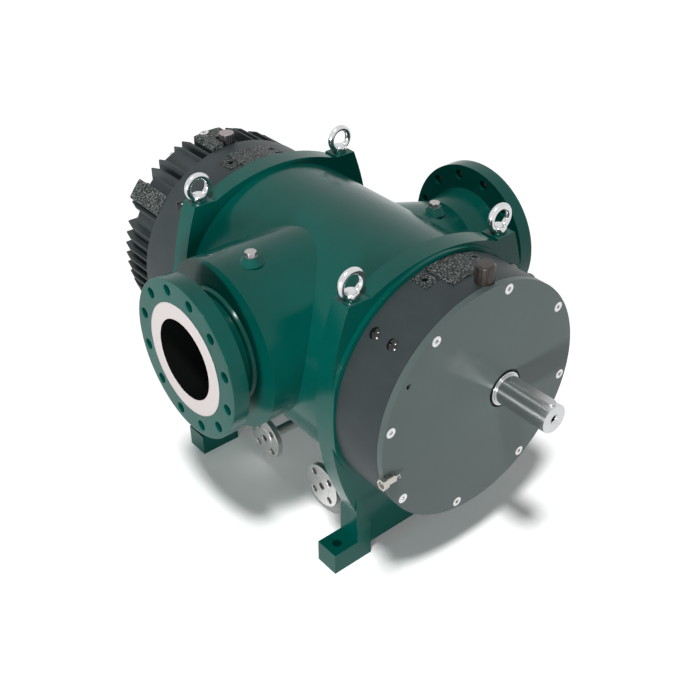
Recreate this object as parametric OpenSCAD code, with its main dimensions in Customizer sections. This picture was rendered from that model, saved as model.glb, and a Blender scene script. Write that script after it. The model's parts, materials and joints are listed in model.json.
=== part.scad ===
// Twin screw pump with timing gears, built up from a welded casing, two bearing housings and two rotors.
// X runs along the shafts with the drive end at +X, -Y is the suction side, +Y the discharge side, +Z is up.
// The origin is the middle of the four foot bolts, on the floor. Lengths are in millimetres.

/* [Casing] */
// Height of both shaft axes above the floor
shaft_height = 468; // [458:1:480]
// Length of the body shell between the end plates
shell_length = 512; // [490:1:540]
// Outer radius of the body shell
shell_r = 292; // [286:1:296]
// Wall of the body shell
shell_wall = 24; // [16:1:28]
// Thickness of an end plate
plate_t = 50; // [46:1:54]
// Radius of the crown arc of an end plate
crown_r = 447; // [430:1:470]
// Height of the crown above the shaft axes
crown_rise = 303; // [298:1:308]
// Radius of the bulging sides of an end plate
side_r = 715; // [650:5:800]
// Half width of an end plate at its widest place
plate_half_w = 295; // [292:1:300]
// Half width of the straight web above the feet
web_half_w = 223; // [218:1:232]
// Height of the eyebolt pads above the shaft axes
pad_rise = 265; // [260:1:272]
// Inner edge of an eyebolt pad, from the middle
pad_inner = 189; // [184:1:194]
// Radius of the round boss that carries a housing
boss_r = 301; // [299:0.5:304]
// Height of that boss
boss_t = 10; // [9:0.5:12]

/* [Feet] */
// Outer edge of a foot, from the middle
foot_outer = 293; // [285:1:305]
// Inner edge of a foot, from the middle
foot_inner = 181; // [172:1:196]
// Height of a foot pad
foot_h = 60; // [48:1:70]
// Height of the open arch between the feet
arch_h = 32; // [24:1:40]
// Distance of a foot bolt from the middle
foot_bolt_y = 261; // [256:1:266]
// Radius of a foot bolt hole
foot_bolt_r = 11; // [9:0.5:14]
// Reach of the feet and of the beam between them past the plate's inner face
foot_over_in = 6; // [2:0.5:8]
// Reach of the feet and of that beam past the plate's outer face
foot_over_out = 8; // [2:0.5:8.5]
// Height where that beam has run out into the plate
beam_top = 200; // [180:1:210]
// Height of the rib that rises from the inner end of each foot
rib_top = 110; // [90:1:120]
// Height of the slope at the top of that rib
rib_slope = 12; // [6:1:20]
// Reach of the beam past the plate's outer face
beam_over_out = 4; // [1:0.5:6]

/* [Nozzles] */
// Height of the nozzle axes above the floor
nozzle_height = 534; // [528:1:540]
// Distance of a nozzle face from the middle
nozzle_reach = 459; // [450:1:470]
// Radius of a nozzle flange, 8 inch class 300
flange_r = 190.5; // [186:0.5:196]
// Thickness of a nozzle flange without its raised face
flange_t = 39.7; // [36:0.1:44]
// Radius of the raised face
raised_r = 135; // [130:0.5:138]
// Height of the raised face
raised_t = 1.6; // [1:0.1:3]
// Radius of the bolt circle
flange_pcd_r = 165.1; // [160:0.1:168]
// Radius of a flange bolt hole
flange_hole_r = 12.7; // [11:0.1:15]
// Number of flange bolts
flange_holes = 12; // [8:4:16]
// Radius of the nozzle bore
nozzle_bore_r = 96.5; // [88:0.5:100]
// Outer radius of the suction neck
neck_r = 122; // [114:0.5:124]
// Outer radius of the discharge pipe
discharge_r = 117; // [110:0.5:120]
// Radius of the discharge hub at its flange
hub_r = 129; // [122:0.5:134]
// Distance from the middle where the hub meets the reinforcing cone
cone_end = 328; // [315:1:335]
// Widening of the reinforcing cone towards the shell, per millimetre
cone_slope = 0.28; // [0.2:0.01:0.32]
// Radius of the collar where the suction neck meets the barrel
collar_r = 139; // [130:0.5:145]
// Thickness of that collar
collar_t = 9; // [5:0.5:12]
// Outer radius of the suction barrel
barrel_r = 203; // [196:1:208]
// Wall of the suction barrel
barrel_wall = 20; // [14:1:24]
// Distance of the barrel's end face from the middle
barrel_reach = 362; // [350:1:372]
// Thickness of the barrel's end wall
barrel_end_t = 22; // [16:1:26]

/* [Vent plugs and drains] */
// Distance of the vent plugs along X
vent_x = 31; // [24:1:36]
// Distance of the suction vent from the middle
suction_vent_y = 287; // [275:1:300]
// Distance of the discharge vent from the middle
discharge_vent_y = 261; // [252:1:270]
// Radius of a vent boss over its corners
vent_boss_r = 23; // [20:0.5:26]
// Height of a vent boss above the highest place of its pipe
vent_boss_h = 10; // [8:0.5:14]
// Distance of the drains from the middle along X
drain_x = 121; // [112:1:130]
// Height of the drain axes
drain_height = 79; // [72:1:90]
// Distance of the drain faces from the middle
drain_reach = 180; // [170:1:195]
// Radius of a drain flange, 3/4 inch class 300
drain_flange_r = 58.7; // [54:0.1:62]
// Thickness of a drain flange
drain_flange_t = 16; // [12:0.5:20]
// Radius of the drain bolt circle
drain_pcd_r = 41.3; // [38:0.1:43]
// Radius of a drain bolt hole
drain_hole_r = 9.5; // [7:0.5:10]
// Radius of a drain pipe
drain_pipe_r = 13.4; // [11:0.1:15]
// Radius of the bore of a drain pipe
drain_bore_r = 10; // [7:0.5:10.5]
// Radius of a drain elbow along its middle line
drain_elbow_r = 38; // [30:1:44]

/* [Housings] */
// Outer radius of the bearing and gear housings
housing_r = 290; // [286:1:294]
// Wall of the housing rims
housing_wall = 26; // [20:1:32]
// Length of the front bearing housing
front_length = 132; // [124:1:145]
// Length of the rear gear housing
rear_length = 124; // [120:1:135]
// Thickness of the bearing wall in each housing
bearing_wall = 60; // [56:1:66]
// Thickness of the front cover
cover_t = 16; // [12:1:20]
// Thickness of every gasket
gasket_t = 1; // [0.5:0.1:2]
// Number of front cover screws
cover_screws = 8; // [6:1:10]
// Radius of the cover screw circle
cover_screw_pcd_r = 272; // [266:1:276]
// Turn of the first cover screw from +Y towards +Z, in degrees
cover_screw_phase = 78.75; // [75:0.25:83]
// Radius of a countersunk screw head
screw_head_r = 12; // [9:0.5:13]
// Radius of a cover screw shank
screw_shank_r = 6; // [4:0.5:7]
// Radius of the shaft hole in the front cover
cover_bore_r = 48; // [46:0.5:52]
// Height of the rough cast patch on top of a housing
patch_h = 3.5; // [1.5:0.5:5]
// Half width of that patch, in degrees
patch_half = 10; // [8:0.5:11]
// Length of that patch
patch_length = 84; // [60:1:100]
// Length of a rough lifting pad along the shafts
rough_length = 49; // [40:1:54]
// Width of a rough lifting pad
rough_width = 36; // [28:1:40]
// Height of a rough lifting pad above the rim
rough_h = 1.5; // [0.5:0.5:3]
// Turn of the front lifting pads away from the top, in degrees
front_pad_turn = 14.6; // [12:0.1:18]
// Turn of the rear lifting pads away from the top, in degrees
rear_pad_turn = 12.6; // [12:0.1:18]
// Turn of the jacking hole in the front cover, in degrees
jack_hole_turn = 146.25; // [140:0.25:152]
// Radius of the jacking hole
jack_hole_r = 6.8; // [5:0.1:8]

/* [Rear cover] */
// Distance between the upright cooling fins
fin_pitch = 24.5; // [22:0.5:28]
// Thickness of a cooling fin
fin_t = 5; // [3:0.5:7]
// Outer radius of the fins
fin_r = 289; // [284:1:292]
// Length of the fins along their tops, behind the rim
fin_top_length = 94; // [80:1:104]
// Reach of the fins' back edges behind the rim
fin_reach = 131; // [122:1:140]
// Drop of the fins from their tops to the back corners
fin_drop = 10; // [4:1:16]
// Outer radius of the drum between the fins
drum_r = 262; // [254:1:266]
// Depth of the drum behind the rim
drum_depth = 114; // [104:1:120]
// Wall of the drum
drum_wall = 14; // [10:1:18]
// Thickness of the rim of the rear cover
rim_t = 14; // [10:1:18]
// Outer radius of the bosses that the cover's bolts run through
bolt_boss_r = 278; // [277:0.5:284]
// Radius of the bolt circle of the rear cover
rear_pcd_r = 271; // [270:0.5:272]
// Radius of a bolt of the rear cover
rear_bolt_r = 4; // [3:0.5:5]
// Radius of the rough block that carries the filler cap
cap_block_r = 297; // [292:1:300]
// Length of that block behind the rim
cap_block_length = 94; // [90:1:104]

/* [Rotors] */
// Module of the timing gears
gear_module = 3.5; // [3.45:0.05:3.55]
// Number of teeth of each timing gear
gear_teeth = 42; // [42:1:42]
// Face width of the timing gears
gear_width = 52; // [44:1:56]
// Clearance between the two screws at the root
screw_root_gap = 1.2; // [0.8:0.1:2]
// Outer radius of the screws
screw_tip_r = 88; // [85:0.5:90]
// Clearance between a screw and the insert bore
screw_bore_gap = 0.4; // [0.3:0.05:0.8]
// Length of one screw
screw_length = 170; // [150:1:172]
// Lead of the screw thread
screw_lead = 85; // [70:1:110]
// Half of the gap between the two screws of a shaft
screw_centre_gap = 25; // [15:1:27]
// Radius of a shaft under its screws
screw_seat_r = 42; // [41:0.5:45]
// Radius of a shaft at its seals
seal_seat_r = 40; // [38.5:0.5:40.5]
// Radius of a shaft at its bearings, bearing 75 x 130 x 31
bearing_seat_r = 37.5; // [36.5:0.5:38]
// Outer radius of a bearing
bearing_outer_r = 65; // [62:0.5:68]
// Width of a bearing
bearing_w = 31; // [25:1:33]
// Number of rollers in a bearing
rollers = 14; // [10:1:15]
// Radius of the drive shaft end
shaft_end_r = 35; // [32:0.5:36]
// Length of the drive shaft end
shaft_end_length = 140; // [136:1:150]
// Width of the drive key
key_w = 20; // [16:1:22]
// Height of the drive key above the shaft end
key_stand = 4.9; // [4:0.1:6]
// Length of the drive key
key_length = 125; // [100:1:130]

/* [Lifting] */
// Radius of an eyebolt ring along its middle line
eye_ring_r = 28; // [26:0.5:30]
// Radius of the eyebolt bar
eye_bar_r = 8; // [7:0.5:9]
// Radius of an eyebolt collar
eye_collar_r = 20; // [18:0.5:21]
// Radius of an eyebolt shank
eye_shank_r = 10; // [8:0.5:12]

/* [Filler caps and plugs] */
// Place of the front filler cap along X, back from the cover's face
front_cap_back = 30; // [30:1:42]
// Place of the front filler cap across the shafts
front_cap_y = 8; // [-12:1:14]
// Radius of the front filler cap
front_cap_r = 21.5; // [19:0.5:24]
// Height of the front filler cap
front_cap_h = 42; // [36:1:50]
// Radius of the rear filler cap
rear_cap_r = 20; // [16:0.5:21]
// Height of the rear filler cap
rear_cap_h = 36; // [28:1:44]
// Radius of the domed oil plugs
oil_plug_r = 14; // [12:0.5:16]

/* [Hidden] */
$fn = 48;

// Colours as the photograph shows them
paint_green = [0.02, 0.30, 0.25];
cast_dark = [0.17, 0.19, 0.19];
cover_grey = [0.33, 0.37, 0.36];
bright_steel = [0.75, 0.75, 0.76];
dull_steel = [0.55, 0.56, 0.58];
rubber_black = [0.05, 0.05, 0.05];
cap_brown = [0.10, 0.08, 0.07];
gasket_grey = [0.30, 0.31, 0.30];
bronze = [0.62, 0.48, 0.26];

// A small overlap that a cutter reaches past the face that it cuts
past = 1;
// Clearance of a screwed or slid-in piece in its hole
fit = 0.05;
// Running clearance of a shaft in a seal
run = 0.05;

// Places along X, from the middle outwards
plate_in = shell_length / 2;
plate_out = plate_in + plate_t;
boss_out = plate_out + boss_t;
wall_in = boss_out + gasket_t;
wall_out = wall_in + bearing_wall;
front_end = wall_in + front_length;
cover_in = front_end + gasket_t;
cover_out = cover_in + cover_t;
rear_end = wall_in + rear_length;
rim_in = rear_end + gasket_t;
rim_out = rim_in + rim_t;
bearing_in = wall_out - bearing_w - 6;
bearing_out = bearing_in + bearing_w;
nut_t = 16;
shaft_face = cover_out + 4;
shaft_tip = shaft_face + shaft_end_length;
shaft_tail = rear_end + 12;

// Places across the shafts
centre_distance = gear_module * gear_teeth;
drive_y = centre_distance / 2;
driven_y = -centre_distance / 2;
screw_root_r = centre_distance - screw_tip_r - screw_root_gap;
plate_mid = plate_in + plate_t / 2;
pad_top = shaft_height + pad_rise;
side_centre = side_r - plate_half_w;
pad_outer = -side_centre + sqrt(side_r * side_r - pad_rise * pad_rise);
eye_y = (pad_inner + pad_outer) / 2;
eye_collar_h = 9;
eye_rise = eye_collar_h + eye_ring_r - 2;
shell_in_r = shell_r - shell_wall;
insert_wall = 21;
insert_half = screw_centre_gap + screw_length + 5;
insert_bore_r = screw_tip_r + screw_bore_gap;
insert_r = insert_bore_r + insert_wall;
saddle_face = 185;
saddle_half = 112;
foot_in = plate_in - foot_over_in;
foot_out = plate_out + foot_over_out;
foot_mid = (foot_in + foot_out) / 2;
beam_out = plate_out + beam_over_out;
beam_fade = 24;
web_top = 230;
web_t = 20;
web_passage_r = 34;
web_in = (insert_half + saddle_half) / 2 - web_t / 2;
seal_chamber_r = 58;
seal_seat_t = 15;
seal_head_in = plate_in + 4;
seal_head_out = boss_out - seal_seat_t;
lip_seal_t = 14;
lip_seal_out = cover_out - 7;
sleeve_r = 42;
sleeve_in = cover_out - 28;
sleeve_out = cover_out + 3;
pocket_r = housing_r - housing_wall;
gear_in = wall_out + 6;
gear_out = gear_in + gear_width;
front_cap_x = cover_out - front_cap_back;
rear_cap_x = rim_out + rear_cap_r + 1.5;
rear_cap_seat = shaft_height + 276;
front_cap_seat = shaft_height + housing_r + 0.5;
front_neck_r = 12.9;
neck_gap = 2;
cap_spigot_r = 11;
cap_spigot_h = 16;
plug_angles = [45, 135];
plug_spots = [boss_out + 27, boss_out + 80];
plug_shank_r = oil_plug_r * 0.6;
front_pad_x = 345;
rear_pad_x = 370;
rear_plug_back = rim_out + 77;
rear_plug_angle = 96.2;
fin_places = [2, 3, 5, 6, 10];
function fin_y(k) = 20 + fin_pitch * k;
shoulder_in = 205;
shoulder_out = 238;
cap_block_left = 55;
cap_block_right = 25;
rear_bolt_angles = [44, 66, 114, 136, 224, 246, 294, 316];
vent_shank_r = 9;
vent_shank_h = 10;
valve_x = cover_out + 9;
valve_y = -298;
valve_z = 404;
valve_bore_r = 3;

// Turns a child whose +Z is its own axis to lie along +X on the shaft plane
module along_x(x, y = 0) translate([x, y, shaft_height]) rotate([0, 90, 0]) children();
// Extrudes a flat outline, drawn with Y to the right and Z up, along +X from x
module outline_x(x, t) translate([x, 0, 0]) rotate([90, 0, 90]) linear_extrude(t) children();
// Places a child on a rim: its +Z points away from the middle at an angle from +Y towards +Z
module on_rim(x, angle, r) translate([x, 0, shaft_height]) rotate([angle - 90, 0, 0]) translate([0, 0, r]) children();
// A ring along +X
module ring_x(x, t, outer, inner, y = 0) along_x(x, y) difference() {
    cylinder(h = t, r = outer);
    translate([0, 0, -past]) cylinder(h = t + 2 * past, r = inner);
}
// A round bar along +X
module bar_x(x0, x1, r, y = 0) along_x(x0, y) cylinder(h = x1 - x0, r = r);
// A round bar along +Y at the nozzle height
module bar_y(y0, y1, r, z = nozzle_height) translate([0, y0, z]) rotate([-90, 0, 0]) cylinder(h = y1 - y0, r = r);
// The same piece at both ends
module both_ends() {
    children();
    mirror([1, 0, 0]) children();
}

// Outline of an end plate: a crown arc over bulging sides, flat eyebolt pads and a straight web
module plate_outline() {
    intersection() {
        union() {
            translate([0, shaft_height + crown_rise - crown_r]) circle(r = crown_r, $fn = 96);
            for (side = [-1, 1])
                translate([side * (pad_inner + 60) - 60, pad_top - 120]) square([120, 120]);
        }
        translate([side_centre, shaft_height]) circle(r = side_r, $fn = 96);
        translate([-side_centre, shaft_height]) circle(r = side_r, $fn = 96);
        translate([-plate_half_w - past, arch_h]) square([2 * (plate_half_w + past), crown_rise + shaft_height]);
    }
    translate([-web_half_w, arch_h]) square([2 * web_half_w, web_top - arch_h]);
}

// Beam between the feet, thicker than the plate, that runs out into it higher up
module foot_beam() translate([0, web_half_w, 0]) rotate([90, 0, 0]) linear_extrude(2 * web_half_w)
    polygon([[foot_in, arch_h], [beam_out, arch_h], [beam_out, beam_top - beam_fade], [plate_out - past, beam_top],
        [plate_in + past, beam_top - 2 * beam_fade], [foot_in, beam_top - 2 * beam_fade - foot_over_in]]);

// One end plate with its boss, feet, seal chambers, foot bolt holes and foot ribs, drawn for the front
module end_plate() difference() {
    union() {
        outline_x(plate_in, plate_t) plate_outline();
        intersection() {
            bar_x(plate_out - past, boss_out, boss_r);
            outline_x(plate_out - 2 * past, boss_t + 4 * past) plate_outline();
        }
        foot_beam();
        for (side = [-1, 1]) {
            translate([foot_in, side > 0 ? foot_inner : -foot_outer, 0])
                cube([foot_out - foot_in, foot_outer - foot_inner, foot_h]);
            translate([0, side > 0 ? web_half_w : -foot_inner, 0]) rotate([90, 0, 0])
                linear_extrude(web_half_w - foot_inner) polygon([[plate_in, arch_h], [foot_out, arch_h],
                    [foot_out, rib_top - rib_slope], [beam_out - past, rib_top], [plate_in, rib_top]]);
        }
    }
    for (y = [drive_y, driven_y]) {
        bar_x(plate_in - past, seal_head_out, seal_chamber_r, y);
        bar_x(seal_head_out - past, boss_out + past, seal_chamber_r + 4, y);
    }
    for (side = [-1, 1]) {
        translate([foot_mid, side * foot_bolt_y, -past]) cylinder(h = foot_h + 2 * past, r = foot_bolt_r);
        translate([foot_mid, side * foot_bolt_y, foot_h - 2]) cylinder(h = 2 + past, r = foot_bolt_r + 4);
        translate([plate_mid, side * eye_y, pad_top - 34]) cylinder(h = 34 + past, r = eye_shank_r + fit);
    }
}

module front_end_plate() color(paint_green) end_plate();

module rear_end_plate() color(paint_green) mirror([1, 0, 0]) end_plate();

// Outline of the insert: two round barrels joined by a flat-sided middle
module insert_outline() {
    for (y = [drive_y, driven_y]) translate([y, shaft_height]) circle(r = insert_r);
    translate([driven_y, shaft_height - insert_r]) square([centre_distance, 2 * insert_r]);
}

// Space of the suction barrel where it runs into the shell
module suction_space() translate([0, -shell_r - past, nozzle_height]) rotate([-90, 0, 0])
    cylinder(h = shell_r - saddle_half + 20, r = barrel_r - barrel_wall);

// Round shell, open to both nozzles and to the drains
module body_shell() color(paint_green) difference() {
    ring_x(-plate_in, shell_length, shell_r, shell_in_r);
    suction_space();
    bar_y(saddle_face - past, shell_r + past, discharge_r);
    for (x = [-drain_x, drain_x])
        translate([x, 0, shaft_height - shell_r - past]) cylinder(h = shell_wall + 8, r = drain_pipe_r);
}

// Web that is welded into the shell and carries one end of the insert, with round passages for the
// liquid, drawn for the front
module insert_web() color(paint_green) difference() {
    ring_x(web_in, web_t, shell_in_r - fit, screw_seat_r);
    outline_x(-plate_in - past, shell_length + 2 * past) insert_outline();
    suction_space();
    for (angle = [60, 120, 240, 270, 300])
        on_rim(web_in - past, angle, (shell_in_r + insert_r) / 2 + 6) rotate([0, 90, 0])
            cylinder(h = web_t + 2 * past, r = web_passage_r);
}

module front_insert_web() insert_web();
module rear_insert_web() mirror([1, 0, 0]) insert_web();

// A vent boss with chamfered hexagonal sides, from inside a pipe's wall up to its top
module vent_boss(h, sink) difference() {
    intersection() {
        translate([0, 0, -sink]) cylinder(h = h + sink, r = vent_boss_r, $fn = 6);
        translate([0, 0, -sink]) cylinder(h = h + sink, r1 = vent_boss_r + sink * 0.7 + 2, r2 = vent_boss_r * 0.7);
    }
    translate([0, 0, h - vent_shank_h - 1]) cylinder(h = vent_shank_h + 1 + past, r = vent_shank_r + fit);
}

// Wide barrel of the suction side, saddled on the shell and closed by a flat end with the neck's hole
module suction_barrel() color(paint_green) difference() {
    union() {
        bar_y(-barrel_reach, -shell_r / 3, barrel_r);
        translate([vent_x, -suction_vent_y, nozzle_height + barrel_r]) vent_boss(vent_boss_h, 12);
    }
    bar_y(-barrel_reach + barrel_end_t, 0, barrel_r - barrel_wall);
    bar_y(-barrel_reach - past, 0, neck_r);
    bar_x(-plate_in, plate_in, shell_r, $fn = 96);
}

// Flange ring with its raised face and bolt holes that straddle the vertical, facing -Y
module nozzle_flange() difference() {
    union() {
        bar_y(-nozzle_reach + raised_t, -nozzle_reach + raised_t + flange_t, flange_r);
        bar_y(-nozzle_reach, -nozzle_reach + raised_t + past, raised_r);
    }
    for (k = [0:flange_holes - 1])
        translate([0, 0, nozzle_height]) rotate([0, (k + 0.5) * 360 / flange_holes, 0])
            translate([0, -nozzle_reach - past, flange_pcd_r]) rotate([-90, 0, 0])
                cylinder(h = flange_t + raised_t + 2 * past, r = flange_hole_r);
}

// Weld neck of the suction nozzle with the collar against the barrel
module suction_flange() color(paint_green) difference() {
    union() {
        nozzle_flange();
        bar_y(-nozzle_reach + flange_t, -barrel_reach + barrel_end_t, neck_r);
        translate([0, -barrel_reach, nozzle_height]) rotate([90, 0, 0])
            cylinder(h = collar_t, r1 = collar_r, r2 = collar_r - 4);
    }
    bar_y(-nozzle_reach - past, 0, nozzle_bore_r);
}

// The reinforcing cone reaches into the shell, and its crown carries the discharge vent
cone_start = 150;
cone_end_r = discharge_r + 3;
function cone_r(y) = cone_end_r + cone_slope * (cone_end - y);
discharge_crown = nozzle_height + cone_r(discharge_vent_y);

// Discharge nozzle: the same flange with a tapered hub on a pipe that reaches through the shell to the
// insert, and a reinforcing cone that widens towards the shell
module discharge_flange() color(paint_green) difference() {
    union() {
        mirror([0, 1, 0]) nozzle_flange();
        bar_y(saddle_face, nozzle_reach - flange_t, discharge_r);
        translate([0, cone_end, nozzle_height]) rotate([-90, 0, 0])
            cylinder(h = nozzle_reach - flange_t - cone_end, r1 = discharge_r + 0.5, r2 = hub_r);
        difference() {
            union() {
                translate([0, cone_start, nozzle_height]) rotate([-90, 0, 0])
                    cylinder(h = cone_end - cone_start, r1 = cone_r(cone_start), r2 = cone_end_r);
                translate([vent_x, discharge_vent_y, discharge_crown]) vent_boss(vent_boss_h, 12);
            }
            bar_x(-plate_in, plate_in, shell_r);
        }
    }
    bar_y(0, nozzle_reach + past, nozzle_bore_r);
}

// Insert with the two screw bores that run into each other, and a saddle for the discharge neck
module pump_insert() color(dull_steel) difference() {
    union() {
        outline_x(-insert_half, 2 * insert_half) insert_outline();
        translate([-saddle_half, 0, nozzle_height - saddle_half])
            cube([2 * saddle_half, saddle_face, 2 * saddle_half]);
    }
    for (y = [drive_y, driven_y]) bar_x(-insert_half - past, insert_half + past, insert_bore_r, y);
    bar_y(drive_y, saddle_face + past, nozzle_bore_r);
}

// A bearing wall with its two stepped bearing seats, drawn for the front
module bearing_wall_solid() difference() {
    bar_x(wall_in, wall_out, housing_r - 1);
    for (y = [drive_y, driven_y]) {
        bar_x(wall_in - past, bearing_in, bearing_outer_r - 8, y);
        bar_x(bearing_in, wall_out + past, bearing_outer_r, y);
    }
}

// Round patch of rough casting on top of a housing, as a slice of a wider ring
module top_patch(x, t) outline_x(x, t) intersection() {
    translate([0, shaft_height]) difference() {
        circle(r = housing_r + patch_h, $fn = 96);
        circle(r = housing_r - 2, $fn = 96);
    }
    translate([0, shaft_height]) polygon([[0, 0],
        2 * housing_r * [-sin(patch_half), cos(patch_half)], 2 * housing_r * [sin(patch_half), cos(patch_half)]]);
}

// Rim, patch, lifting pads and plug holes that both housings share, drawn for the front
module housing_shell(length, pad_x, pad_turn) difference() {
    union() {
        ring_x(wall_in, length, housing_r, pocket_r);
        bearing_wall_solid();
        top_patch(wall_in + 2, patch_length);
        for (angle = [90 - pad_turn, 90 + pad_turn])
            on_rim(pad_x, angle, housing_r + rough_h - 4) translate([-rough_length / 2, -rough_width / 2, 0])
                cube([rough_length, rough_width, 4]);
    }
    for (angle = [90 - pad_turn, 90 + pad_turn])
        on_rim(pad_x, angle, housing_r - 18) cylinder(h = 18 + rough_h + past, r = 7);
    for (angle = plug_angles, x = plug_spots)
        on_rim(x, angle, housing_r - 16) cylinder(h = 16 + past, r = plug_shank_r + fit);
}

module front_bearing_housing() color(cast_dark) difference() {
    union() {
        housing_shell(front_length, front_pad_x, front_pad_turn);
        translate([front_cap_x, front_cap_y, shaft_height + pocket_r + 8])
            cylinder(h = front_cap_seat - shaft_height - pocket_r - 8, r = front_neck_r);
    }
    translate([front_cap_x, front_cap_y, shaft_height + pocket_r - 10])
        cylinder(h = housing_wall + 30, r = cap_spigot_r + fit);
    translate([front_cap_x, front_cap_y, front_cap_seat]) cylinder(h = front_cap_h, r = front_cap_r + neck_gap);
    cover_screw_places() translate([0, 0, -26]) cylinder(h = 26 + past, r = screw_shank_r + fit);
}

// Places of the front cover screws, on the housing's front face
module cover_screw_places(x = front_end) for (k = [0:cover_screws - 1])
    along_x(x) rotate([0, 0, cover_screw_phase + k * 360 / cover_screws])
        translate([0, cover_screw_pcd_r, 0]) children();

module front_housing_gasket() color(gasket_grey) ring_x(boss_out, gasket_t, housing_r - 1, pocket_r);

module front_cover_gasket() color(gasket_grey) difference() {
    ring_x(front_end, gasket_t, housing_r - 1, pocket_r);
    cover_screw_places() translate([0, 0, -past]) cylinder(h = gasket_t + 2 * past, r = screw_shank_r + fit);
}

// Flat front cover with countersunk screws, the shaft hole and a jacking hole
module front_cover() color(cover_grey) difference() {
    union() {
        bar_x(cover_in, cover_out, housing_r);
        bar_x(cover_in - gasket_t - 14, cover_in + past, pocket_r - 0.5);
    }
    bar_x(cover_in - 40, cover_out + past, cover_bore_r, drive_y);
    bar_x(cover_in - 40, cover_in - gasket_t + 2, pocket_r - 12);
    cover_screw_places(cover_out) {
        translate([0, 0, -cover_t - past]) cylinder(h = cover_t + 2 * past, r = screw_shank_r + fit);
        translate([0, 0, -screw_head_r + screw_shank_r])
            cylinder(h = screw_head_r - screw_shank_r, r1 = screw_shank_r + fit, r2 = screw_head_r + fit);
    }
    along_x(cover_out - 12) rotate([0, 0, jack_hole_turn]) translate([0, cover_screw_pcd_r - 5, 0])
        cylinder(h = 12 + past, r = jack_hole_r);
}

module cover_screw() difference() {
    union() {
        translate([0, 0, -cover_t - 18]) cylinder(h = cover_t + 18, r = screw_shank_r);
        translate([0, 0, -screw_head_r + screw_shank_r])
            cylinder(h = screw_head_r - screw_shank_r, r1 = screw_shank_r, r2 = screw_head_r);
    }
    translate([0, 0, -6]) cylinder(h = 6 + past, r = 5.2, $fn = 6);
}

module front_cover_screws() color(bright_steel) cover_screw_places(cover_out) cover_screw();

// Lip seal set back in the cover's shaft hole
module shaft_lip_seal() color(rubber_black) {
    ring_x(lip_seal_out - lip_seal_t, lip_seal_t, cover_bore_r, sleeve_r + run, drive_y);
}

// Domed plugs beside the bearings, in pairs on both sides
module oil_plug() {
    translate([0, 0, -12]) cylinder(h = 12 + past, r = plug_shank_r);
    intersection() {
        cylinder(h = oil_plug_r, r = oil_plug_r);
        translate([0, 0, -oil_plug_r * 0.9]) sphere(r = oil_plug_r * 1.35);
    }
}

module oil_plugs() for (angle = plug_angles, x = plug_spots)
    on_rim(x, angle, housing_r) difference() {
        oil_plug();
        translate([0, 0, oil_plug_r * 0.45 - 4]) cylinder(h = 10, r = 3.6, $fn = 6);
    }

module front_oil_plugs() color(rubber_black) oil_plugs();

module rear_oil_plugs() color(rubber_black) mirror([1, 0, 0]) oil_plugs();

// Drain cock at the cover's lower edge: a stub on the cover, a round body and a hexagonal outlet facing -Y
module valve_place() translate([valve_x, valve_y, valve_z]) rotate([90, 0, 0]) children();

module drain_valve_body() color(bright_steel) difference() {
    union() {
        valve_place() translate([0, 0, -11]) cylinder(h = 11, r = 14, $fn = 6);
        valve_place() translate([0, 0, -36]) cylinder(h = 26, r = 8);
        translate([cover_out, valve_y + 26, valve_z]) rotate([0, 90, 0]) cylinder(h = valve_x - cover_out, r = 5);
    }
    valve_place() translate([0, 0, -8]) cylinder(h = 8 + past, r = 8.5);
    valve_place() translate([0, 0, -36 - past]) cylinder(h = 17 + past, r = valve_bore_r + run);
}

// Stem and cross handle of the drain cock
module drain_valve_handle() color(bright_steel) valve_place() {
    translate([0, 0, -50]) cylinder(h = 30, r = valve_bore_r);
    translate([-7, 0, -46]) rotate([0, 90, 0]) cylinder(h = 14, r = 2);
}

// Rear housing with the gear space, the same rim and wall as the front
module rear_gear_housing() color(cast_dark) mirror([1, 0, 0]) difference() {
    housing_shell(rear_length, rear_pad_x, rear_pad_turn);
    rear_screw_places() translate([0, 0, -24]) cylinder(h = 24 + past, r = rear_bolt_r + fit);
}

module rear_housing_gasket() color(gasket_grey) mirror([1, 0, 0])
    ring_x(boss_out, gasket_t, housing_r - 1, pocket_r);

// Places of the rear cover's bolts, in the gaps where no fin stands, drawn for the front
module rear_screw_places(x = rear_end) for (angle = rear_bolt_angles)
    along_x(x) rotate([0, 0, angle]) translate([0, rear_pcd_r, 0]) children();

module rear_cover_gasket() color(gasket_grey) mirror([1, 0, 0]) difference() {
    ring_x(rear_end, gasket_t, housing_r - 1, pocket_r);
    rear_screw_places() translate([0, 0, -past]) cylinder(h = gasket_t + 2 * past, r = rear_bolt_r + fit);
}

// The same piece on both sides of the middle
module both_sides() {
    children();
    mirror([0, 1, 0]) children();
}

// The same piece above and below the shafts
module above_and_below() {
    children();
    translate([0, 0, 2 * shaft_height]) mirror([0, 0, 1]) children();
}

// An upright fin over the whole height of the cover, its outline following the circle of the fins
module fin(y) {
    top = sqrt(fin_r * fin_r - (y + fin_t / 2) * (y + fin_t / 2));
    edge = [[rim_out - past, top], [rim_out + fin_top_length, top], [rim_out + fin_reach, top - fin_drop]];
    translate([0, y + fin_t / 2, shaft_height]) rotate([90, 0, 0]) linear_extrude(fin_t)
        polygon(concat(edge, [for (k = [2:-1:0]) [edge[k][0], -edge[k][1]]]));
}

// A block between two widths, from the drum out to a radius, above the shafts
module rim_block(y0, y1, length, r) outline_x(rim_out - past, length + past) intersection() {
    translate([0, shaft_height]) difference() {
        circle(r = r, $fn = 96);
        circle(r = drum_r - past, $fn = 96);
    }
    translate([y0, shaft_height]) square([y1 - y0, r + past]);
}

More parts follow.
